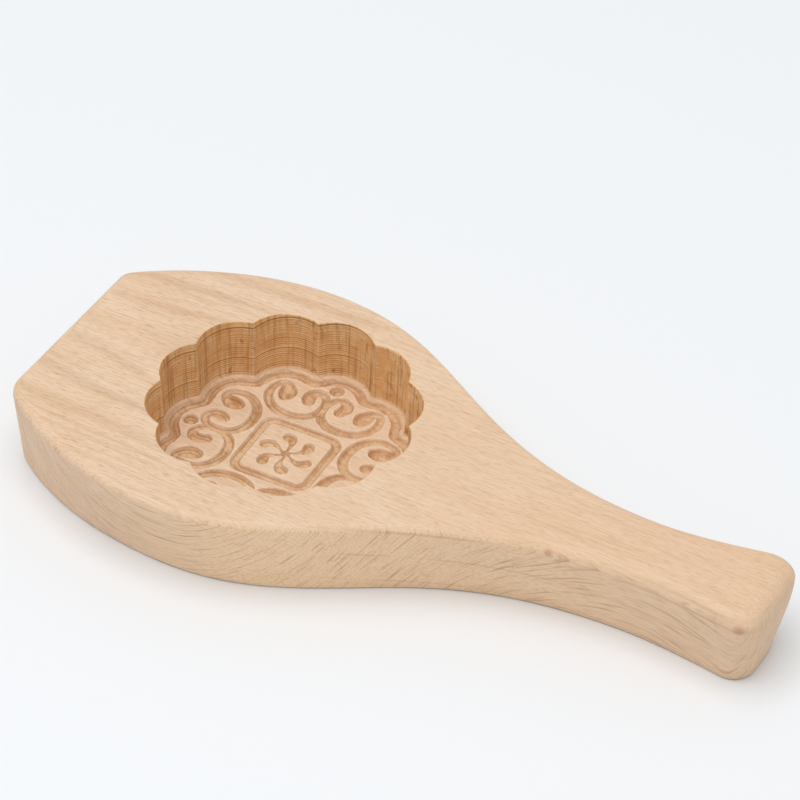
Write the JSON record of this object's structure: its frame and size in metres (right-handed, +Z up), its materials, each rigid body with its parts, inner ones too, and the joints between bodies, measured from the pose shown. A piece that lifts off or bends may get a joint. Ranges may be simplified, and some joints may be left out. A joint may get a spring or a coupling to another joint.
{
  "type": "mooncake mold",
  "caption": "Wooden paddle mold with a deep scalloped cavity and a carved floor in its head, for pressing decorated mooncakes by hand.",
  "frame": {"origin": "on the surface that the mold lies on, under the middle of its bounding box", "axes": "+X along the paddle towards the handle's end, +Y across it to the left of the handle, +Z up out of the cavity"},
  "size_m": [0.2, 0.093, 0.025],
  "materials": {
    "beech": "sanded, unvarnished"
  },
  "bodies": {
    "root": {"mold": "beech"}
  },
  "joints": []
}
